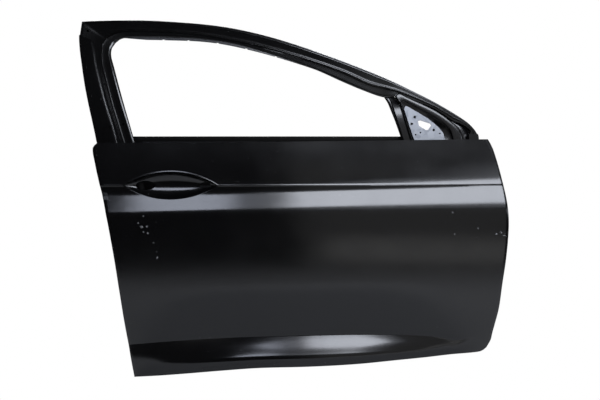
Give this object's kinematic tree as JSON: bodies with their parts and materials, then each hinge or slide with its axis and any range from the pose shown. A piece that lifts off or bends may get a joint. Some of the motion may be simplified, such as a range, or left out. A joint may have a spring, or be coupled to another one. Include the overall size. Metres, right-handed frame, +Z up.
{
  "type": "car door shell",
  "caption": "Bare pressed-steel front car door with window frame, mirror sail, handle recess and impact beam, in black primer.",
  "frame": {"origin": "centre of the upper hinge's mounting face on the front shut face", "axes": "+X to the front of the car, out of the hinge face; +Z up; -Y is the outside of the door"},
  "size_m": [1.2371, 0.2713, 1.0295],
  "materials": {
    "black_primer": "semi-gloss black electrocoat primer, a little dusty",
    "galvanised_steel": "bare galvanised, matt pale grey",
    "mastic": "matt black anti-flutter mastic"
  },
  "bodies": {
    "root": {"outer_panel": "black_primer", "inner_panel": "black_primer", "upper_frame_outer": "black_primer", "upper_frame_inner": "black_primer", "b_pillar_plate": "black_primer", "sail_frame": "black_primer", "mirror_mount_plate": "galvanised_steel", "mirror_reinforcement": "black_primer", "division_bar": "black_primer", "division_bar_foot": "black_primer", "rear_glass_channel": "black_primer", "rear_channel_foot": "black_primer", "belt_rail_outer": "black_primer", "belt_rail_inner": "black_primer", "impact_beam": "black_primer", "beam_bracket_front": "black_primer", "beam_bracket_rear": "black_primer", "mastic_pad_1": "mastic", "mastic_pad_2": "mastic", "mastic_pad_3": "mastic", "mastic_pad_4": "mastic", "hinge_plate_upper": "black_primer", "hinge_plate_lower": "black_primer", "check_strap_plate": "black_primer", "latch_plate": "black_primer", "handle_bracket": "black_primer", "front_corner_plate": "black_primer"}
  },
  "joints": []
}
